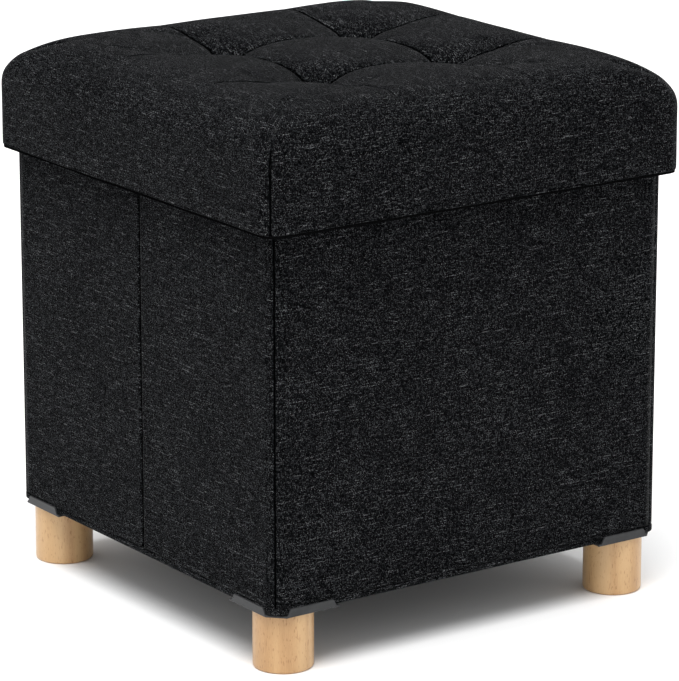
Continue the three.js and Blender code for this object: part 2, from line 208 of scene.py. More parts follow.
def linen(name, two_ways=False):
    """Near-black linen-look cloth with lighter slubs. On the lid the cloth turns from the top's run to the sides'."""
    shader = Shader(name)
    tone, height = weave(shader, cloth_place(shader, "cloth"))
    place = object_place(shader)
    if two_ways:
        share = shader.node("ShaderNodeAttribute", "Fac", attribute_name="side")
        patch = shader.range(shader.noise(place, 700, 1), 0.3, 0.7, 0.1, 0.9)
        side = shader.math("GREATER_THAN", share, patch)
        side_tone, side_height = weave(shader, cloth_place(shader, "cloth_side"))
        tone = shader.mix(side, tone, side_tone)
        height = shader.mix(side, height, side_height)
    fibre = shader.noise(place, 3200, 2, 0.8)
    worn = shader.noise(place, 9, 3, 0.6)
    light = shader.plus(tone, shader.times_plus(fibre, 0.3, -0.12))
    light = shader.times_plus(worn, 0.06, light)
    # Painted shade and highlight of the weave: the colour is darker where each thread dips and lighter on its crown.
    light = shader.times(light, shader.times_plus(height, 0.6, 0.4))
    # Painted shade: the colour darkens by up to 0.7 where the "fold" value marks creases, seams and tuft pits.
    fold = shader.node("ShaderNodeAttribute", "Fac", attribute_name="fold")
    light = shader.times(light, shader.times_plus(fold, -0.7, 1.0))
    color = shader.ramp(
        light,
        [
            (0.04, (0.0001, 0.00011, 0.00013)),
            (0.18, (0.0011, 0.0012, 0.0014)),
            (0.34, (0.0072, 0.0077, 0.0086)),
            (0.48, (0.034, 0.0355, 0.0385)),
            (0.75, (0.31, 0.315, 0.325)),
        ],
    )
    shader.surface_values(
        Base_Color=color, Roughness=0.95, Sheen_Weight=0.24, Sheen_Roughness=0.06, Specular_IOR_Level=0.0
    )
    shader.bump(shader.times_plus(fibre, 0.3, height), 0.16 * MM)
    return shader.material


def felt(name, dark, light):
    """Pressed non-woven cloth: matted fibres with a grid of small bonding dimples."""
    shader = Shader(name)
    place = object_place(shader)
    fibres = shader.noise(place, 1400, 3, 0.75)
    clouds = shader.noise(place, 60, 3, 0.6)
    cells = shader.node("ShaderNodeTexVoronoi", 0, {"Vector": place, "Scale": 520, "Randomness": 0.15})
    dimple = shader.range(cells, 0.16, 0.34)
    value = shader.times(shader.plus(fibres, clouds), 0.5)
    tone = shader.times(value, shader.times_plus(dimple, 0.3, 0.7))
    color = shader.ramp(tone, [(0.25, dark), (0.6, light)])
    shader.surface_values(Base_Color=color, Roughness=0.95, Sheen_Weight=0.12, Specular_IOR_Level=0.15)
    shader.bump(shader.times_plus(fibres, 0.4, dimple), 0.12 * MM)
    return shader.material


def beech(name):
    """Lacquered beech turned with the grain upright: fine grain, short darker flecks, rings on the end grain."""
    shader = Shader(name)
    x, y, z = shader.split(object_place(shader))
    stretched = shader.join(x, y, shader.times(z, 0.07))
    drift = shader.times(shader.noise(stretched, 28, 2, 0.5), 7)
    across = shader.times_plus(shader.times_plus(y, 0.35, x), 210, drift)
    rings = shader.math("POWER", shader.math("ABSOLUTE", shader.math("SINE", across)), 1.6)
    grain = shader.noise(stretched, 1500, 3, 0.7)
    fleck_place = shader.join(x, y, shader.times(z, 0.22))
    flecks = shader.range(shader.noise(fleck_place, 1050, 1, 0.4), 0.64, 0.7)
    broad = shader.noise(stretched, 60, 2, 0.5)
    tone = shader.plus(shader.times(rings, 0.2), shader.times(grain, 0.36))
    tone = shader.times_plus(broad, 0.44, tone)
    tone = shader.times_plus(flecks, -0.24, tone)
    color = shader.ramp(
        tone,
        [
            (0.12, (0.342, 0.17, 0.065)),
            (0.4, (0.513, 0.299, 0.131)),
            (0.56, (0.589, 0.368, 0.174)),
            (0.8, (0.655, 0.437, 0.231)),
        ],
    )
    rough = shader.range(grain, 0.2, 0.8, 0.36, 0.5)
    shader.surface_values(Base_Color=color, Roughness=rough, Coat_Weight=0.25, Coat_Roughness=0.3)
    shader.bump(shader.times_plus(flecks, -0.5, grain), 0.05 * MM)
    return shader.material


def black_steel(name):
    """Satin black powder coat on sheet steel."""
    shader = Shader(name)
    place = object_place(shader)
    peel = shader.noise(place, 900, 2, 0.5)
    dust = shader.noise(place, 70, 4, 0.7)
    color = shader.ramp(dust, [(0.3, (0.016, 0.017, 0.018)), (0.75, (0.036, 0.037, 0.039))])
    rough = shader.range(dust, 0.2, 0.8, 0.3, 0.46)
    shader.surface_values(Base_Color=color, Metallic=0.0, Roughness=rough, Specular_IOR_Level=0.3)
    shader.bump(peel, 0.04 * MM)
    return shader.material


def fibreboard(name):
    """Raw fibreboard: pressed brown fibres."""
    shader = Shader(name)
    place = object_place(shader)
    fibres = shader.noise(place, 900, 4, 0.8)
    clouds = shader.noise(place, 45, 3, 0.6)
    value = shader.times(shader.plus(fibres, clouds), 0.5)
    color = shader.ramp(value, [(0.3, (0.2, 0.125, 0.065)), (0.65, (0.42, 0.29, 0.17))])
    shader.surface_values(Base_Color=color, Roughness=0.85)
    shader.bump(fibres, 0.1 * MM)
    return shader.material


def zinc(name):
    """Bright zinc plating with faint turning marks."""
    shader = Shader(name)
    x, y, z = shader.split(object_place(shader))
    marks = shader.noise(shader.join(x, y, shader.times(z, 12)), 700, 2, 0.6)
    color = shader.ramp(marks, [(0.3, (0.42, 0.43, 0.45)), (0.7, (0.66, 0.67, 0.68))])
    rough = shader.range(marks, 0.3, 0.7, 0.25, 0.42)
    shader.surface_values(Base_Color=color, Metallic=1.0, Roughness=rough)
    shader.bump(marks, 0.03 * MM)
    return shader.material


def foam(name):
    """Open-cell seat foam."""
    shader = Shader(name)
    place = object_place(shader)
    cells = shader.node("ShaderNodeTexVoronoi", 0, {"Vector": place, "Scale": 900})
    color = shader.ramp(cells, [(0.1, (0.55, 0.5, 0.34)), (0.6, (0.8, 0.76, 0.6))])
    shader.surface_values(Base_Color=color, Roughness=0.95)
    shader.bump(cells, 0.3 * MM)
    return shader.material


def nylon(name):
    """Milky moulded nylon."""
    shader = Shader(name)
    cloudy = shader.noise(object_place(shader), 300, 2, 0.5)
    color = shader.ramp(cloudy, [(0.3, (0.62, 0.62, 0.58)), (0.7, (0.72, 0.72, 0.69))])
    shader.surface_values(Base_Color=color, Roughness=0.4)
    shader.bump(cloudy, 0.05 * MM)
    return shader.material


def twine(name):
    """Dark twisted twine."""
    shader = Shader(name)
    x, y, z = shader.split(object_place(shader))
    slanting = shader.plus(shader.plus(x, y), z)
    twist = shader.math("SINE", shader.times(slanting, 9000))
    stops = [(0.0, (0.003, 0.0031, 0.0034)), (1.0, (0.012, 0.0124, 0.0135))]
    color = shader.ramp(shader.range(twist, -1, 1), stops)
    shader.surface_values(Base_Color=color, Roughness=0.8, Specular_IOR_Level=0.1)
    shader.bump(twist, 0.05 * MM)
    return shader.material


def black_shade_tape(name):
    """Matt black woven tape, its black used as painted shade: the band under the lid's hem stands where the hem's
    shadow falls, and the tape in the creases' floors is blacker for their shade.
    """
    shader = Shader(name)
    ribs = shader.noise(object_place(shader), 1300, 2, 0.6)
    color = shader.ramp(ribs, [(0.3, (0.0012, 0.0012, 0.0013)), (0.7, (0.0045, 0.0046, 0.005))])
    shader.surface_values(Base_Color=color, Roughness=0.95, Specular_IOR_Level=0.0)
    shader.bump(ribs, 0.1 * MM)
    return shader.material


LINEN = linen("linen")
LID_LINEN = linen("lid_linen", two_ways=True)
FELT = felt("lining_felt", (0.006, 0.0063, 0.0068), (0.02, 0.0205, 0.0215))
BEECH = beech("beech")
BLACK_STEEL = black_steel("black_steel")
FIBREBOARD = fibreboard("fibreboard")
ZINC = zinc("zinc")
FOAM = foam("seat_foam")
NYLON = nylon("nylon")
TWINE = twine("twine")
SHADE_TAPE = black_shade_tape("black_shade_tape")


# ---------------------------------------------------------------- meshes


def piece(name, points, faces, look):
    """A new smooth-shaded object, with its faces pointing out."""
    mesh = bpy.data.meshes.new(name)
    mesh.from_pydata([tuple(p) for p in points], [], faces)
    work = bmesh.new()
    work.from_mesh(mesh)
    bmesh.ops.recalc_face_normals(work, faces=work.faces)
    work.to_mesh(mesh)
    work.free()
    mesh.shade_smooth()
    mesh.materials.append(look)
    made = bpy.data.objects.new(name, mesh)
    bpy.context.scene.collection.objects.link(made)
    return made


def lay_cloth(made, layer, coordinates):
    """A UV layer in metres, from the cloth coordinates of every face corner."""
    uv = made.data.uv_layers.new(name=layer)
    uv.data.foreach_set("uv", np.asarray(coordinates, np.float32).ravel())


def paint_shade(made, values):
    """How deep each point of a cloth lies in a seam or crease, 0 to 1: painted shade, darkening the cloth's colour
    there.
    """
    layer = made.data.attributes.new("fold", "FLOAT", "POINT")
    layer.data.foreach_set("value", np.clip(values, 0, 1).astype(np.float32))


def corner_vertices(made):
    """The vertex of every face corner."""
    values = np.empty(len(made.data.loops), np.int32)
    made.data.loops.foreach_get("vertex_index", values)
    return values


def tray_cloth(made):
    """Cloth coordinates of every face corner on a tray: along each side and up it, and across its level faces."""
    mesh = made.data
    places = read_vectors(mesh.vertices, "co")[corner_vertices(made)]
    sizes = np.empty(len(mesh.polygons), np.int32)
    mesh.polygons.foreach_get("loop_total", sizes)
    center, normal = (np.repeat(read_vectors(mesh.polygons, name), sizes, axis=0) for name in ("center", "normal"))
    level = np.abs(normal[:, 2]) > 0.8
    sideways = ~level & (np.abs(center[:, 0]) > np.abs(center[:, 1]))
    along = np.where(sideways, places[:, 1], places[:, 0])
    return np.stack([along, np.where(level, places[:, 1], places[:, 2])], axis=1)


def read_vectors(mesh_part, name):
    """A vector value of every vertex, corner or face of a mesh, as rows."""
    values = np.empty(len(mesh_part) * 3, np.float32)
    mesh_part.foreach_get(name, values)
    return values.reshape(-1, 3).astype(float)


def ring_faces(rows, columns, closed):
    """Quads between the points of a grid whose rows are closed rings or open lines."""
    faces = []
    for r in range(rows - 1):
        for c in range(columns if closed else columns - 1):
            d = (c + 1) % columns
            faces.append((r * columns + c, r * columns + d, (r + 1) * columns + d, (r + 1) * columns + c))
    return faces


def capped_rings(name, points, count, look):
    """A closed body through rings of count points each, closed at both ends."""
    faces = ring_faces(len(points) // count, count, True)
    faces += [tuple(range(count)), tuple(range(len(points) - count, len(points)))]
    made = piece(name, points, faces, look)
    for face in made.data.polygons:
        face.use_smooth = len(face.vertices) == 4
    return made


def sweep(name, section, stations, look):
    """A closed section, [(outwards, up, cloth v)], at each station (function of outwards and up, cloth u), capped."""
    points, cloth = [], []
    for place, u in stations:
        points += [place(out, up) for out, up, _ in section]
        cloth += [(u, v) for _, _, v in section]
    made = capped_rings(name, points, len(section), look)
    lay_cloth(made, "cloth", np.array(cloth)[corner_vertices(made)])
    return made


def arc(center, radius, start, end, steps):
    """Points on a circle's arc, angles in degrees."""
    angles = np.radians(np.linspace(start, end, steps + 1))
    return [(center[0] + radius * math.cos(a), center[1] + radius * math.sin(a)) for a in angles]


def line(a, b, step):
    """Points from a up to but not including b, about step apart."""
    count = max(1, round(math.dist(a, b) / step))
    return [(a[0] + (b[0] - a[0]) * i / count, a[1] + (b[1] - a[1]) * i / count) for i in range(count)]


# ---------------------------------------------------------------- the box's walls


def wall_section():
    """Section of an upholstered wall: out from the corner fold's axis, and up, with the cloth's own length along it."""
    inner, recess, outer = 0.2 * MM, 0.85 * MM, WALL
    edge = 0.8 * MM
    top = (outer - inner) / 2
    face_end = WALL_HIGH - FACING
    path = [(recess, WALL_LOW + 0.3 * MM), (2.5 * MM, WALL_LOW)]
    path += arc((outer - edge, WALL_LOW + edge), edge, -90, 0, 3)
    path += line((outer, WALL_LOW + edge), (outer, WALL_HIGH - top), 4 * MM)[1:]
    path += arc((outer - top, WALL_HIGH - top), top, 0, 180, 12)
    path += line((inner, WALL_HIGH - top), (inner, face_end), 4 * MM)[1:]
    path += [(inner, face_end), (recess, face_end - 0.2 * MM)]
    lengths = np.cumsum([0] + [math.dist(a, b) for a, b in zip(path, path[1:])])
    return [(out, up, float(v)) for (out, up), v in zip(path, lengths)]


def slack(along, up, seed):
    """How far stretched cloth lies off a true plane there: broad and under half a millimetre."""
    return 0.35 * MM * noise.noise(Vector((along * 9, up * 7, seed)))


def out_from(origin, outwards, out, up):
    """The point that far out from an upright line, at that height."""
    spot = Vector(origin) + Vector(outwards) * out
    return (spot.x, spot.y, up)


def wall_station(origin, outwards, along, seed, to_end, pinch=0.0):
    """Places a section's points. pinch draws the outer face in, where the wall ends at a crease."""
    loose = smooth(to_end, 0, FLAT_END)

    def place(out, up):
        if out > 0.9 * WALL and up > WALL_LOW + 4 * MM:
            out += loose * slack(along, up, seed) * smooth(up, WALL_LOW + 4 * MM, WALL_LOW + 25 * MM)
        share = smooth(out, 0.55 * WALL, 0.95 * WALL)
        return out_from(origin, outwards, out - pinch * share, up)

    return place, along


def smooth(value, low, high):
    """A smooth step from 0 at low to 1 at high."""
    t = min(max((value - low) / (high - low), 0), 1)
    return t * t * (3 - 2 * t)


def crease_pinch(gap):
    """How far the outer face falls away at that distance from a crease."""
    radius = 2.2 * MM
    return radius - math.sqrt(max(radius**2 - max(radius - gap, 0) ** 2, 0))


def rigid_wall(name, facing, body):
    """The back or the front, in one piece from corner to corner."""
    places = np.linspace(-CORNER, CORNER, 73)
    stations = [
        wall_station((x, facing * CORNER, 0), (0, facing, 0), x, 3.1 * facing, CORNER - abs(x)) for x in places
    ]
    made = sweep(f"{name}_fabric", wall_section(), stations, LINEN)
    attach(made, body)
    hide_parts(f"{name}_cover")


def half_wall(name, sx, sy, body):
    """A creased side's half. Its outer face falls away at the crease."""
    gaps = [0, 0.2 * MM, 0.45 * MM, 0.8 * MM, 1.25 * MM, 1.8 * MM, 2.4 * MM]
    places = [CREASE_GAP + gap for gap in gaps] + list(np.linspace(CREASE_GAP + 4 * MM, CORNER, 44))
    stations = []
    for y in places:
        origin, to_end = (sx * CORNER, sy * y, 0), min(y, CORNER - y)
        pinch = crease_pinch(y - CREASE_GAP)
        place, along = wall_station(origin, (sx, 0, 0), sy * y, 5.7 * sx, to_end, pinch)
        stations.append((place, along + SIDE_CLOTH))
    made = sweep(f"{name}_fabric", wall_section(), stations, LINEN)
    # Painted shade along the middle crease.
    paint_shade(made, bell(np.abs(read_vectors(made.data.vertices, "co")[:, 1]) - CREASE_GAP, 0.35 * MM))
    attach(made, body)
    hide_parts(f"{name}_cover")


def corner_fold(place, bodies):
    """The cloth round a corner, with a seam down its tip. It rides on one body, or stays fixed where it lies between
    two.
    """
    sx, sy = PLACES[place]
    apex = math.pi / 4
    turns = list(np.linspace(0, apex, 15)) + list(np.linspace(apex + 1e-5, 2 * apex, 15))
    tuck = CORNER - TUCK
    stations = [tucked_station((sx * CORNER, sy * tuck, 0), (sx, 0, 0), sy * tuck + SIDE_CLOTH)]
    for turn in turns:
        off_seam = abs(turn - apex) * WALL
        groove = 0.8 * MM * math.exp(-((off_seam / (0.5 * MM)) ** 2))
        dip = 0.6 * MM * math.exp(-((off_seam / (2.2 * MM)) ** 2))
        outwards = (sx * math.cos(turn), sy * math.sin(turn), 0)
        if turn <= apex:
            along = sy * (CORNER + turn * WALL) + SIDE_CLOTH
        else:
            along = sx * (CORNER + (2 * apex - turn) * WALL)
        stations.append(seam_station((sx * CORNER, sy * CORNER, 0), outwards, along, groove + dip))
    stations.append(tucked_station((sx * tuck, sy * CORNER, 0), (0, sy, 0), sx * tuck))
    made = sweep(f"corner_fabric_{place}", wall_section(), stations, LINEN)
    # Painted shade down the corner's seam.
    co = np.abs(read_vectors(made.data.vertices, "co"))
    paint_shade(made, bell((co[:, 0] - co[:, 1]) / math.sqrt(2), 0.7 * MM))
    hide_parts(f"corner_fold_{place}")
    if len(bodies) == 1:
        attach(made, bodies[0])
        return
    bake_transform(made)


def seam_station(origin, outwards, along, depth):
    """A section through the corner's cloth, its outer face sunk by depth."""

    def place(out, up):
        share = smooth(out, 0.6 * WALL, 0.9 * WALL)
        return out_from(origin, outwards, out - depth * share, up)

    return place, along


def tucked_station(origin, outwards, along):
    """An end of the corner's cloth, tucked into the wall beside it."""
    middle = (WALL_LOW + WALL_HIGH) / 2

    def place(out, up):
        out = WALL / 2 + (out - WALL / 2) * 0.95
        return out_from(origin, outwards, out, middle + (up - middle) * 0.999)

    return place, along


def crease_floor(side, body):
    """The tape in the bottom of a side's middle crease, made black as painted shade for the deep crease."""
    low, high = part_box(f"crease_tape_{side}")
    section = [(low.x, low.y), (high.x, low.y), (high.x, high.y), (low.x, high.y)]
    points = [(x, y, z) for z in np.linspace(low.z, high.z, 60) for x, y in section]
    made = capped_rings(f"crease_fabric_{side}", points, len(section), SHADE_TAPE)
    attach(made, body)
    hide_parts(f"crease_tape_{side}")


def lining_panel(name, corner_at, along, outwards, start, end, body):
    """The felt on a wall's inner face, up to the turned-over fabric."""
    low, high = WALL_LOW + 0.2 * MM, WALL_HIGH - FACING - 0.1 * MM
    inner, outer = 0.2 * MM, 0.2 * MM + LINING_THICK
    origin, along = Vector(corner_at), Vector(along)
    section = [(inner, low), (outer, low)]
    section += line((outer, low), (outer, high), 6 * MM)[1:]
    section += [(outer, high), (inner, high)]
    section += line((inner, high), (inner, low), 6 * MM)[1:]
    section = [(out, up, up) for out, up in section]
    stations = [lining_station(origin + along * s, outwards, s) for s in np.linspace(start, end, 40)]
    made = sweep(f"{name}_felt", section, stations, FELT)
    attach(made, body)
    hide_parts(f"{name}_lining")


def lining_station(base, outwards, along):
    """A section through a wall's felt, which ripples a little towards its board."""

    def place(out, up):
        ripple = 0.12 * MM * noise.noise(Vector((along * 14, up * 11, 2.0)))
        return out_from(base, outwards, out + max(ripple, 0), up)

    return place, along


def build_walls():
    rigid_wall("back", 1, "base")
    rigid_wall("front", -1, "front_panel")
    half = CORNER - 0.2 * MM
    lining_panel("back", (0, CORNER, 0), (1, 0, 0), (0, 1, 0), -half, half, "base")
    lining_panel("front", (0, -CORNER, 0), (1, 0, 0), (0, -1, 0), -half, half, "front_panel")
    for side, sx in (("left", -1), ("right", 1)):
        for end, sy in (("rear", 1), ("front", -1)):
            body = f"{side}_{end}_side"
            half_wall(f"{side}_{end}", sx, sy, body)
            far = CORNER - 0.3 * MM
            lining_panel(f"{side}_{end}", (sx * CORNER, 0, 0), (0, sy, 0), (sx, 0, 0), 0.5 * MM, far, body)
        crease_floor(side, f"{side}_rear_side")
    corner_fold("rear_left", ["base", "left_rear_side"])
    corner_fold("rear_right", ["base", "right_rear_side"])
    corner_fold("front_left", ["front_panel", "left_front_side"])
    corner_fold("front_right", ["front_panel"])


# ---------------------------------------------------------------- base, brackets and legs


def rounded_ring(half, radius, z, per_side=24, per_corner=8):
    """Points round a square with rounded corners, anticlockwise from the middle of the +X side's lower corner."""
    points = []
    inner = half - radius
    for quarter in range(4):
        turn = Matrix.Rotation(quarter * math.pi / 2, 3, "Z")
        side = [Vector((half, -inner + 2 * inner * i / per_side, z)) for i in range(per_side)]
        bend = [
            Vector((inner + radius * math.cos(a), inner + radius * math.sin(a), z))
            for a in (math.pi / 2 * i / per_corner for i in range(per_corner))
        ]
        points += [turn @ p for p in side + bend]
    return points


def plate_of_rings(name, rings, look):
    """A closed body through rounded-square rings, [(half, radius, z)], capped at both ends."""
    points = [tuple(p) for ring in rings for p in rounded_ring(*ring)]
    return capped_rings(name, points, len(points) // len(rings), look)


def build_base():
    """The fabric tray under the base's board and round its edge, and the felt on top of the board."""
    radius = WALL
    edge = 2.4 * MM
    rings = [(BODY - edge - 12 * MM, radius, BASE_LOW)]
    for out, up in arc((BODY - edge, BASE_LOW + edge), edge, -90, 0, 6):
        rings.append((out, radius - (BODY - out), up))
    rings += [(BODY, radius, BASE_HIGH - 0.5 * MM), (BODY - 0.4 * MM, radius - 0.4 * MM, BASE_HIGH)]
    rings += [(BODY - 1.6 * MM, radius - 1.6 * MM, BASE_HIGH - 0.1 * MM)]
    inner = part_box("base_board")[1].x + 0.1 * MM
    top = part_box("base_board")[1].z + 0.05 * MM
    rings += [(inner, radius - 1.7 * MM, top + 0.3 * MM), (inner - 2 * MM, radius - 3 * MM, top)]
    made = plate_of_rings("base_fabric", rings, LINEN)
    lay_cloth(made, "cloth", tray_cloth(made))
    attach(made, "base")
    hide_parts("base_cover")
    sheet, flat = flat_lining("base", True, 0.4 * MM)


def flat_lining(name, faces_up, edge):
    """The base's or the lid's felt, its edge broken on the side that shows, and its size."""
    low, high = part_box(f"{name}_lining")
    hidden, shown, step = (low.z, high.z, 0.2 * MM) if faces_up else (high.z, low.z, -0.2 * MM)
    rings = [
        (high.x - 1 * MM, LINING_CORNER, hidden),
        (high.x, LINING_CORNER, hidden + step),
        (high.x, LINING_CORNER, shown - step),
        (high.x - edge, LINING_CORNER, shown),
    ]
    made = plate_of_rings(f"{name}_felt", rings, FELT)
    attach(made, name)
    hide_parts(f"{name}_lining")
    return made, (2 * high.x, 2 * high.y)


def ring_band(name, rings, look):
    """A closed band through rounded-square rings, the last joined to the first."""
    points = [tuple(p) for ring in rings for p in rounded_ring(*ring)]
    count = len(points) // len(rings)
    faces = ring_faces(len(rings), count, True)
    last = len(points) - count
    faces += [(last + c, last + (c + 1) % count, (c + 1) % count, c) for c in range(count)]
    return piece(name, points, faces, look)


def bevelled_copy(node, name, width, look):
    """A CAD piece of the base with its edges broken, standing in for it."""
    mesh = frame["nodes"][node].data.copy()
    work = bmesh.new()
    work.from_mesh(mesh)
    bmesh.ops.remove_doubles(work, verts=work.verts, dist=0.01 * MM)
    bmesh.ops.dissolve_limit(work, angle_limit=math.radians(1), verts=work.verts, edges=work.edges)
    work.to_mesh(mesh)
    work.free()
    mesh.materials.clear()
    mesh.materials.append(look)
    made = bpy.data.objects.new(name, mesh)
    bpy.context.scene.collection.objects.link(made)
    bevel = made.modifiers.new("edges", "BEVEL")
    bevel.width = width
    bevel.segments = 3
    bevel.limit_method = "ANGLE"
    bevel.angle_limit = math.radians(30)
    bevel.harden_normals = True
    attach(made, "base")
    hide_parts(node)


def turned(name, profile, x, y, look, segments=72):
    """A body turned about an upright axis at x, y, from a profile of (radius, height) that starts and ends on it."""
    inside = profile[1:-1]
    points = [(x, y, profile[0][1])]
    for radius, z in inside:
        for i in range(segments):
            turn = 2 * math.pi * i / segments
            points.append((x + radius * math.cos(turn), y + radius * math.sin(turn), z))
    points.append((x, y, profile[-1][1]))
    last = len(points) - 1
    faces = [tuple(1 + c for c in f) for f in ring_faces(len(inside), segments, True)]
    faces += [(0, 1 + (i + 1) % segments, 1 + i) for i in range(segments)]
    faces += [(last, last - segments + i, last - segments + (i + 1) % segments) for i in range(segments)]
    return piece(name, points, faces, look)


def build_legs():
    """The four turned legs, with a rounded foot."""
    for place in PLACES:
        low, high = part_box(f"leg_{place}")
        x, y = (low.x + high.x) / 2, (low.y + high.y) / 2
        radius = (high.x - low.x) / 2
        foot, top = 2.2 * MM, 0.7 * MM
        profile = [(0, low.z), (radius - foot - 6 * MM, low.z)]
        profile += arc((radius - foot, low.z + foot), foot, -90, 0, 6)
        profile += [(radius, low.z + 12 * MM), (radius, high.z - 8 * MM)]
        profile += arc((radius - top, high.z - top), top, 0, 90, 4)
        profile += [(radius - 8 * MM, high.z), (0, high.z)]
        made = turned(f"beech_leg_{place}", profile, x, y, BEECH)
        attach(made, "base")
        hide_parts(f"leg_{place}")


def build_brackets():
    for place in PLACES:
        bevelled_copy(f"corner_bracket_{place}", f"steel_bracket_{place}", 0.4 * MM, BLACK_STEEL)


# ---------------------------------------------------------------- the lid

SHOULDER = 34 * MM  # how far in and down the padded edge is rounded
CROWN = LID_HIGH - 0.3 * MM
CROWN_FALL = 3.5 * MM  # from the top's middle to the shoulder
LID_CORNER = 15 * MM  # radius of the skirt's corners in plan
SHOULDER_CORNER = 46 * MM  # and of the shoulder's upper edge
SKIRT_TOP = CROWN - CROWN_FALL - SHOULDER
HEM_RADIUS = 1.2 * MM
SHADE_BINDING = 2.2 * MM  # height of the black band under the hem, painted shade where the hem's shadow falls
SEAM_DEPTH = 1.1 * MM  # of the seams down the skirt's corners
GRID = 4.6 * MM  # between the lines of the lid's top, away from the tufts
PUFF_FRAMES = 20


def lid_lines():
    """Half widths of the square rings of the lid's top, middle first, and how far each turns down the shoulder."""
    close = [0.7, 1.6, 2.8, 4.4]
    lines = [0.0]
    while lines[-1] < TUFT_AT - 8.5 * MM:
        lines.append(lines[-1] + GRID)
    lines += [TUFT_AT + step * MM for step in [-c for c in reversed(close)] + [0] + close]
    edge = LID - SHOULDER
    count = round((edge - lines[-1]) / GRID)
    lines += list(np.linspace(lines[-1], edge, count + 1)[1:])
    turns = [0.0] * len(lines)
    rings = 13
    for i in range(1, rings + 1):
        turn = math.pi / 2 * i / rings
        lines.append(edge + SHOULDER * math.sin(turn))
        turns.append(turn)
    return lines, turns


def ring_radius(half):
    """Corner radius in plan of the lid's ring of that half width."""
    edge = LID - SHOULDER
    if half <= edge:
        return SHOULDER_CORNER * smooth(half, TUFT_AT + 18 * MM, edge)
    share = (half - edge) / SHOULDER
    return SHOULDER_CORNER + (LID_CORNER - SHOULDER_CORNER) * share**1.4


def on_ring(x, y, half):
    """Moves a point of a square ring of that half width onto the rounded one."""
    radius = ring_radius(half)
    inner = half - radius
    if radius and abs(x) > inner and abs(y) > inner:
        dx, dy = abs(x) - inner, abs(y) - inner
        scale = radius / math.hypot(dx, dy)
        x = math.copysign(inner + dx * scale, x)
        y = math.copysign(inner + dy * scale, y)
    return x, y


def dent(x, y):
    """How far the tufts and the creases between them pull the lid's top down."""
    along_x, along_y = abs(abs(y) - TUFT_AT), abs(abs(x) - TUFT_AT)
    depth_x, depth_y = crease_depth(abs(x)), crease_depth(abs(y))
    creases = depth_x * crease_shape(along_x) + depth_y * crease_shape(along_y)
    off = math.hypot(along_x, along_y)
    pit = 13 * MM * math.exp(-((off / (15 * MM)) ** 1.25))
    return creases + pit


def crease_depth(along):
    """Depth of a crease at a distance along it from the lid's middle: deepest at the tuft, fading to the edge."""
    deepest, middle = 8 * MM, 6 * MM
    if along < TUFT_AT:
        return middle + (deepest - middle) * (along / TUFT_AT) ** 3
    return deepest * (1 - smooth(along, TUFT_AT, LID - 0.3 * SHOULDER))


def crease_shape(off):
    """A crease's section, 1 on its line: a sharp valley between two rounded squares."""
    reach = 62 * MM
    return 0.45 * math.exp(-off / (6 * MM)) + 0.55 * max(1 - off / reach, 0) ** 2.2


def lid_top():
    """The lid above its skirt, as grids: its points, the cloth's fall over the shoulder, and its two threads."""
    lines, turns = lid_lines()
    signed = [-l for l in reversed(lines[1:])] + lines
    both = list(reversed(turns[1:])) + turns
    count = len(signed)
    points = np.zeros((count, count, 3))
    fall = np.zeros((count, count))
    for i in range(count):
        for j in range(count):
            x, y = signed[i], signed[j]
            outer = i if abs(x) > abs(y) else j
            half, turn = abs(signed[outer]), both[outer]
            px, py = on_ring(x, y, half)
            drop = crown_drop(half) + SHOULDER * (1 - math.cos(turn))
            z = CROWN - drop - dent(px, py) * math.cos(turn)
            points[i, j] = (px, py, z)
            fall[i, j] = turn * SHOULDER
    return points, fall, pulled(points, 0), pulled(points, 1)


def pulled(points, axis):
    """Where the cloth's threads lie along that axis: spread by the cloth's length into the pits, true at the rim."""
    flat = points[:, :, axis]
    lengths = np.linalg.norm(np.diff(points, axis=axis), axis=2)
    path = np.insert(np.cumsum(lengths, axis=axis), 0, 0, axis=axis)
    middle = np.take(path, [path.shape[axis] // 2], axis=axis)
    extra = path - middle - flat
    low, high = np.take(extra, [0], axis=axis), np.take(extra, [-1], axis=axis)
    share = flat / (LID - SHOULDER)
    return flat + extra - np.where(share < 0, -low, high) * share


def crown_drop(half):
    """The top falls a little from its middle to the shoulder."""
    share = min(half / (LID - SHOULDER), 1)
    return CROWN_FALL * share**3


def border(count):
    """Grid places round the outside of a count by count grid, anticlockwise."""
    last = count - 1
    walk = [(last, j) for j in range(last)]
    walk += [(i, last) for i in range(last, 0, -1)]
    walk += [(0, j) for j in range(last, 0, -1)]
    walk += [(i, 0) for i in range(last)]
    return walk


def skirt_levels():
    """The skirt from the shoulder down, its rounded hem, and the cloth turned up inside: (inset, height)."""
    hem = HEM_RADIUS
    thick = LID + HEM_HALF + 1.6 * MM  # from the outer cloth to the turned-up cloth inside
    low = LID_LOW + SHADE_BINDING
    levels = [(0.0, z) for z in np.linspace(SKIRT_TOP, low + hem, 10)[1:]]
    levels += [(hem - hem * math.cos(a), low + hem - hem * math.sin(a)) for a in np.radians([30, 60, 90])]
    levels += [(thick - hem + hem * math.sin(a), low + hem - hem * math.cos(a)) for a in np.radians([0, 30, 60, 90])]
    inside = LID_LINING_LOW - 0.4 * MM
    levels += [(thick, z) for z in np.linspace(low + hem, inside, 5)[1:]]
    levels.append((thick + 8 * MM, LID_LINING_LOW + 1.2 * MM))
    return levels


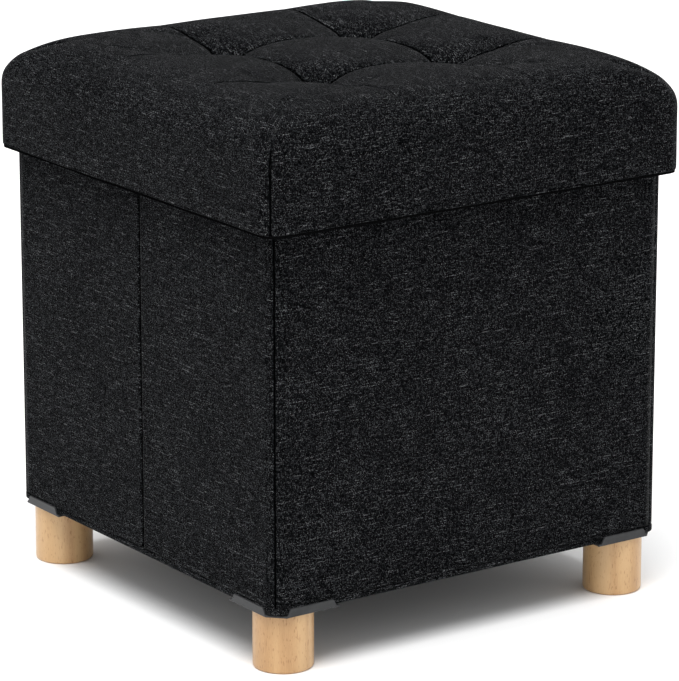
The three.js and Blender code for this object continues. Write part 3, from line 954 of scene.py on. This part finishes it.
def build_cushion_mesh():
    """The lid's cloth as a mesh open underneath, with three values of every point.

    They are how far down the cloth it is from the shoulder's start, and where it is along the top cloth's two threads.
    """
    grid, fall, *threads = lid_top()
    count = grid.shape[0]
    points = [tuple(p) for p in grid.reshape(-1, 3)]
    values = [list(row) for row in zip(fall.reshape(-1), *(t.reshape(-1) for t in threads))]
    faces = ring_faces(count, count, False)
    previous = [i * count + j for i, j in border(count)]
    outline = [Vector(points[k]) for k in previous]
    ring = len(outline)
    for inset, z in skirt_levels():
        first = len(points)
        for p in outline:
            points.append(inset_point(p, inset, z))
            values.append([SHOULDER * math.pi / 2 + SKIRT_TOP - z, p.x, p.y])
        new = list(range(first, first + ring))
        for k in range(ring):
            n = (k + 1) % ring
            faces.append((previous[k], new[k], new[n], previous[n]))
        previous = new
    return points, faces, values


def inset_point(p, inset, z):
    """A point of the skirt's outline, moved inwards. Each outer face is drawn in a little towards its middle."""
    inner = LID - LID_CORNER
    if inset == 0:
        inset = 0.4 * MM * math.cos(math.pi / 2 * min(abs(p.x), abs(p.y)) / LID)
        inset *= smooth(LID_LOW + 60 * MM - z, 0, 50 * MM)
    if abs(p.x) > inner and abs(p.y) > inner:
        center = Vector((math.copysign(inner, p.x), math.copysign(inner, p.y), 0))
        away = Vector((p.x, p.y, 0)) - center
        keep = max(away.length - inset, 2 * MM) / away.length
        extra = max(inset - LID_CORNER + 2 * MM, 0)
        spot = center + away * keep
        return (spot.x - math.copysign(extra, p.x), spot.y - math.copysign(extra, p.y), z)
    if abs(p.x) > abs(p.y):
        return (p.x - math.copysign(inset, p.x), p.y, z)
    return (p.x, p.y - math.copysign(inset, p.y), z)


def puff(cushion):
    """Blows the lid's top up a little by cloth simulation, held at the tufts and the skirt."""
    rest = np.array([v.co for v in cushion.data.vertices])
    held = cushion.vertex_groups.new(name="held")
    for vertex in cushion.data.vertices:
        off = math.hypot(abs(vertex.co.x) - TUFT_AT, abs(vertex.co.y) - TUFT_AT)
        if vertex.co.z < SKIRT_TOP + 1 * MM or off < 5 * MM:
            held.add([vertex.index], 1.0, "REPLACE")
    cloth = cushion.modifiers.new("cloth", "CLOTH")
    settings = cloth.settings
    settings.quality = 6
    settings.mass = 0.4
    settings.tension_stiffness = 25
    settings.compression_stiffness = 25
    settings.shear_stiffness = 8
    settings.bending_stiffness = 1.5
    settings.use_pressure = True
    settings.uniform_pressure_force = 6
    settings.effector_weights.gravity = 0
    settings.vertex_group_mass = "held"
    cloth.collision_settings.use_collision = False
    scene = bpy.context.scene
    cloth.point_cache.frame_start, cloth.point_cache.frame_end = 1, PUFF_FRAMES
    for step in range(1, PUFF_FRAMES + 1):
        scene.frame_set(step)
    shown = cushion.evaluated_get(bpy.context.evaluated_depsgraph_get())
    moved = np.array([v.co for v in shown.data.vertices]) - rest
    cushion.modifiers.remove(cloth)
    cushion.vertex_groups.remove(held)
    scene.frame_set(1)
    most = 8 * MM
    length = np.linalg.norm(moved, axis=1, keepdims=True)
    moved *= most * np.tanh(length / most) / np.maximum(length, 1e-9)
    cushion.data.vertices.foreach_set("co", (rest + moved).astype(np.float32).ravel())
    cushion.data.update()


def refine(cushion):
    """One smooth subdivision, kept, and then the underside closed."""
    bpy.context.view_layer.objects.active = cushion
    divide = cushion.modifiers.new("fine", "SUBSURF")
    divide.levels = divide.render_levels = 1
    bpy.ops.object.modifier_apply(modifier=divide.name)
    work = bmesh.new()
    work.from_mesh(cushion.data)
    rim = [edge for edge in work.edges if edge.is_boundary]
    bmesh.ops.edgeloop_fill(work, edges=rim)
    work.to_mesh(cushion.data)
    work.free()


def steps(values, low, high):
    """The smooth step of many values at once."""
    t = np.clip((values - low) / (high - low), 0, 1)
    return t * t * (3 - 2 * t)


def bell(values, width):
    """1 where a value is 0, fading either side of it."""
    return np.exp(-((values / width) ** 2))


def fine_folds(cushion):
    """After the simulation: each crease's hairline, gathers round the tufts, corner seams and slight unevenness, and
    painted shade in the creases, corner seams and tuft pits.
    """
    mesh = cushion.data
    co = read_vectors(mesh.vertices, "co")
    normals = read_vectors(mesh.vertex_normals, "vector")
    x, y, z = np.abs(co[:, 0]), np.abs(co[:, 1]), co[:, 2]
    widest = np.maximum(x, y)
    top = (normals[:, 2] > 0.3) & (widest < LID - 10 * MM)
    depth = np.zeros(len(co))
    painted_shade = np.zeros(len(co))
    for across, along in ((x, y), (y, x)):
        fade = top * (1 - steps(along, 120 * MM, 175 * MM))
        depth += 0.9 * MM * bell(across - TUFT_AT, 0.9 * MM) * fade
        painted_shade += 0.8 * bell(across - TUFT_AT, 1.1 * MM) * fade
    off = np.hypot(x - TUFT_AT, y - TUFT_AT)
    turn = np.arctan2(y - TUFT_AT, x - TUFT_AT)
    seed = 1.7 * (co[:, 0] > 0) + 3.1 * (co[:, 1] > 0)
    gathers = np.cos(6 * turn + seed) + 0.5 * np.cos(9 * turn - 2 * seed)
    depth += top * 0.7 * MM * gathers * bell(off - 13 * MM, 8 * MM)
    seam = corner_seam(x, y, z)
    depth += seam
    depth -= 0.45 * MM * np.array([noise.noise(Vector(p)) for p in co * 22])
    depth[(z < LID_LOW + 5 * MM) & (widest < LID - 4 * MM)] = 0
    mesh.vertices.foreach_set("co", (co - normals * depth[:, None]).astype(np.float32).ravel())
    mesh.update()
    # Painted shade: the colour darkens along the creases' hairlines, down the corner seams and round the tuft pits.
    paint_shade(cushion, painted_shade + seam / SEAM_DEPTH + 0.7 * top * bell(off, 8 * MM))


def corner_seam(x, y, z):
    """Depth of the seam down each corner of the skirt, dying out on the shoulder."""
    inner = LID - LID_CORNER
    off = np.abs(x - y) / math.sqrt(2)
    share = (np.minimum(x, y) > inner) * (1 - steps(z, SKIRT_TOP + 2 * MM, SKIRT_TOP + 22 * MM))
    return share * (SEAM_DEPTH * bell(off, 0.8 * MM) - 0.35 * MM * bell(off - 2.4 * MM, 1.3 * MM))


def lid_cloth(cushion):
    """Cloth coordinates: flat over the top, and along and down each side, whose cloths meet at the corner seams."""
    corners = corner_vertices(cushion)
    places = read_vectors(cushion.data.vertices, "co")[corners]
    falls, across_x, across_y = read_vectors(cushion.data.attributes["cut"].data, "vector").T
    side = cushion.data.attributes.new("side", "FLOAT", "POINT")
    side.data.foreach_set("value", steps(falls, 0.5 * MM, 9 * MM).astype(np.float32))
    lay_cloth(cushion, "cloth", np.stack([across_y[corners], across_x[corners]], axis=1))
    over = np.abs(places[:, :2]) - (LID - LID_CORNER)
    facing_x = np.abs(places[:, 0]) > np.abs(places[:, 1])
    turn = np.arctan2(np.where(facing_x, over[:, 1], over[:, 0]), np.where(facing_x, over[:, 0], over[:, 1]))
    along = np.where(facing_x, places[:, 1], places[:, 0])
    round_corner = np.sign(along) * (LID - LID_CORNER * (1 - turn))
    along = np.where((over > 0).all(axis=1), round_corner, along)
    lay_cloth(cushion, "cloth_side", np.stack([along + SIDE_CLOTH * facing_x, -falls[corners]], axis=1))


def build_lid():
    """The cushion with its foam, a black band round its hem as painted shade where the hem's shadow falls, and the felt
    under its board.
    """
    points, faces, values = build_cushion_mesh()
    cushion = piece("lid_cushion", points, faces, LID_LINEN)
    cut = cushion.data.attributes.new("cut", "FLOAT_VECTOR", "POINT")
    cut.data.foreach_set("vector", np.array(values, np.float32).ravel())
    puff(cushion)
    refine(cushion)
    fine_folds(cushion)
    lid_cloth(cushion)
    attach(cushion, "lid")
    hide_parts("lid_cover", "lid_foam")
    outer, outer_corner = LID - 1.4 * MM, LID_CORNER - 3 * MM
    inner, inner_corner = -HEM_HALF - 0.6 * MM, 7 * MM
    # The black band under the hem is painted shade, standing where the hem's shadow falls on the box.
    shade_binding_top = LID_LOW + SHADE_BINDING + 0.5 * MM
    rings = [
        (outer, outer_corner, shade_binding_top),
        (outer, outer_corner, LID_LOW + 0.2 * MM),
        (outer - 0.4 * MM, outer_corner, LID_LOW),
        (inner, inner_corner, LID_LOW),
        (inner, inner_corner, shade_binding_top),
    ]
    shade_binding = ring_band("lid_shade_binding", rings, SHADE_TAPE)
    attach(shade_binding, "lid")
    sheet, flat = flat_lining("lid", False, 0.5 * MM)


# ---------------------------------------------------------------- the CAD nodes


def paint_frame():
    """Gives each CAD node the material of its slot."""
    looks = {
        "fibreboard": FIBREBOARD,
        "zinc": ZINC,
        "foam": FOAM,
        "washer": NYLON,
        "twine": TWINE,
        "linen": LINEN,
        "lining": FELT,
        "beech": BEECH,
        "bracket": BLACK_STEEL,
    }
    slots = {part["node"]: part["material_slot"] for part in frame["record"]["subparts"]}
    for node, made in frame["nodes"].items():
        made.data.materials.clear()
        made.data.materials.append(looks[slots[node]])


# ---------------------------------------------------------------- the studio


def build_camera():
    """A long lens, a little above the lid and turned to the front left corner."""
    azimuth, elevation, distance = math.radians(-35.02), math.radians(15.42), 3.364
    right = Vector((math.cos(azimuth), math.sin(azimuth), 0))
    level = math.cos(elevation)
    back = Vector((math.sin(azimuth) * level, -math.cos(azimuth) * level, math.sin(elevation)))
    target = right * 0.0037 + Vector((0, 0, 0.199))
    camera = bpy.data.objects.new("camera", bpy.data.cameras.new("camera"))
    camera.data.lens = 216.8
    camera.data.sensor_width = 36
    camera.data.clip_end = 50
    up = back.cross(right)
    turn = Matrix((right, up, back)).transposed().to_4x4()
    camera.matrix_world = Matrix.Translation(target + back * distance) @ turn
    bpy.context.scene.collection.objects.link(camera)
    bpy.context.scene.camera = camera


def build_studio():
    """A white floor under a pale sky, with one broad soft light overhead."""
    floor_mesh = bpy.data.meshes.new("floor")
    half = 12
    corners = [(x * half, y * half, 0) for x, y in PLACES.values()]
    floor_mesh.from_pydata(corners, [], [(0, 1, 2, 3)])
    shader = Shader("studio_floor")
    shader.surface_values(Base_Color=(0.96, 0.96, 0.96, 1), Roughness=0.8, Specular_IOR_Level=0.1)
    floor_mesh.materials.append(shader.material)
    floor = bpy.data.objects.new("floor", floor_mesh)
    bpy.context.scene.collection.objects.link(floor)
    world = bpy.data.worlds.new("studio")
    world.use_nodes = True
    sky = world.node_tree.nodes["Background"].inputs
    sky["Color"].default_value = (1, 1, 1, 1)
    sky["Strength"].default_value = 0.64
    bpy.context.scene.world = world
    sun = bpy.data.lights.new("overhead", "SUN")
    sun.energy = 3.2
    sun.angle = math.radians(48)
    made = bpy.data.objects.new("overhead", sun)
    made.matrix_world = Vector((-0.22, -0.16, 1)).to_track_quat("Z", "Y").to_matrix().to_4x4()
    bpy.context.scene.collection.objects.link(made)
    bpy.context.scene.view_settings.view_transform = "Standard"


build_camera()
build_studio()
paint_frame()
build_walls()
build_base()
build_brackets()
build_legs()
build_lid()

bpy.context.view_layer.update()
